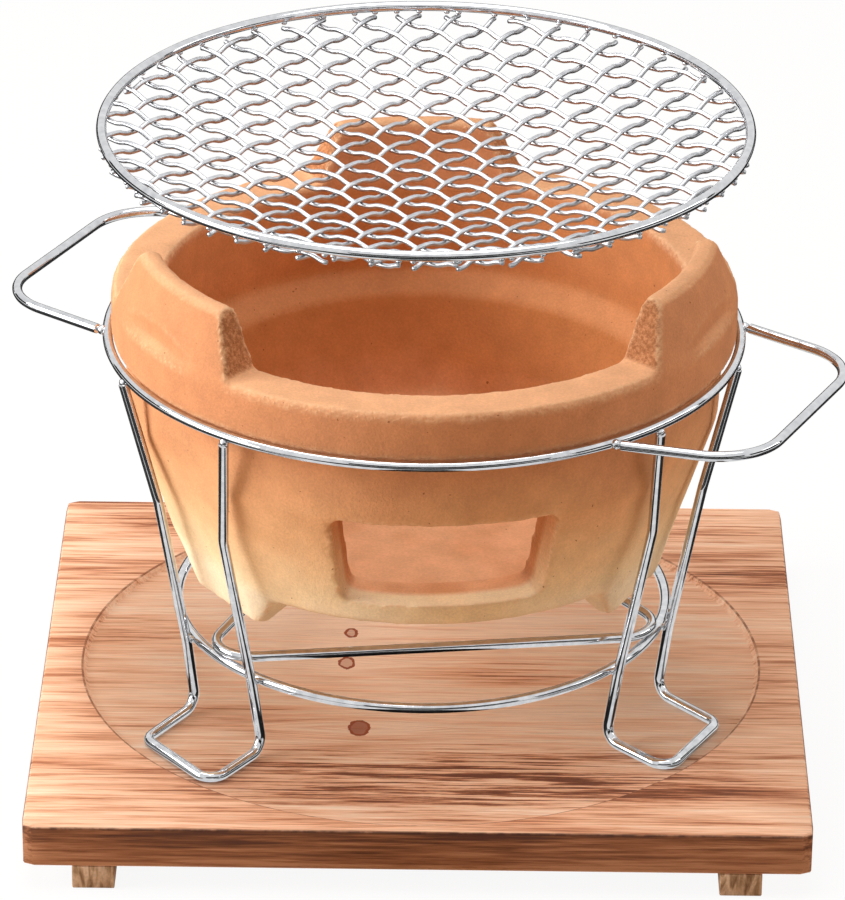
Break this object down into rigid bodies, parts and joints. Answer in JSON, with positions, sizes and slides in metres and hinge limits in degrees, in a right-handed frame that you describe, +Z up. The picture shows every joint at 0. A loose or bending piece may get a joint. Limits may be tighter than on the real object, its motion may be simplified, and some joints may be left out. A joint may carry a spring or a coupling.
{
  "type": "clay grill",
  "caption": "Tabletop clay charcoal grill: round clay fire bowl with lugs and a draught opening, in a wire stand with handles, with a lift-off crimped net and a recessed wooden board.",
  "frame": {"origin": "on the ground under the middle of the board", "axes": "+X along the long side of the board, -Y towards the draught opening, +Z up"},
  "size_m": [0.262, 0.225, 0.2091],
  "materials": {
    "board_wood": "scorched and brushed, straight grain along X",
    "batten_wood": "plain sawn",
    "fired_clay": "unglazed fired clay, fine grain, paler towards the foot",
    "stand_wire": "bright plated wire",
    "net_wire": "bright plated wire"
  },
  "bodies": {
    "base": {"board": "board_wood", "batten_left": "batten_wood", "batten_right": "batten_wood"},
    "stand": {"stand_top_ring": "stand_wire", "stand_lower_ring": "stand_wire", "stand_brace": "stand_wire", "leg_front_left": "stand_wire", "leg_front_right": "stand_wire", "leg_rear": "stand_wire", "handle_left": "stand_wire", "handle_right": "stand_wire"},
    "bowl": {"clay_bowl": "fired_clay"},
    "net": {"net_rim": "net_wire", "net_warp_01": "net_wire", "net_warp_02": "net_wire", "net_warp_03": "net_wire", "net_warp_04": "net_wire", "net_warp_05": "net_wire", "net_warp_06": "net_wire", "net_warp_07": "net_wire", "net_warp_08": "net_wire", "net_warp_09": "net_wire", "net_warp_10": "net_wire", "net_warp_11": "net_wire", "net_warp_12": "net_wire", "net_warp_13": "net_wire", "net_warp_14": "net_wire", "net_warp_15": "net_wire", "net_warp_16": "net_wire", "net_warp_17": "net_wire", "net_warp_18": "net_wire", "net_warp_19": "net_wire", "net_weft_01": "net_wire", "net_weft_02": "net_wire", "net_weft_03": "net_wire", "net_weft_04": "net_wire", "net_weft_05": "net_wire", "net_weft_06": "net_wire", "net_weft_07": "net_wire", "net_weft_08": "net_wire", "net_weft_09": "net_wire", "net_weft_10": "net_wire", "net_weft_11": "net_wire", "net_weft_12": "net_wire", "net_weft_13": "net_wire", "net_weft_14": "net_wire", "net_weft_15": "net_wire", "net_weft_16": "net_wire", "net_weft_17": "net_wire", "net_weft_18": "net_wire", "net_weft_19": "net_wire"}
  },
  "joints": [
    {"name": "stand_lift", "type": "slide", "parent": "base", "child": "stand", "axis": [0, 0, 1], "range_m": [0, 0.05]},
    {"name": "bowl_lift", "type": "slide", "parent": "stand", "child": "bowl", "axis": [0, 0, 1], "range_m": [0, 0.1]},
    {"name": "net_lift", "type": "slide", "parent": "bowl", "child": "net", "axis": [0, 0, 1], "range_m": [-0.0258, 0.04]}
  ]
}
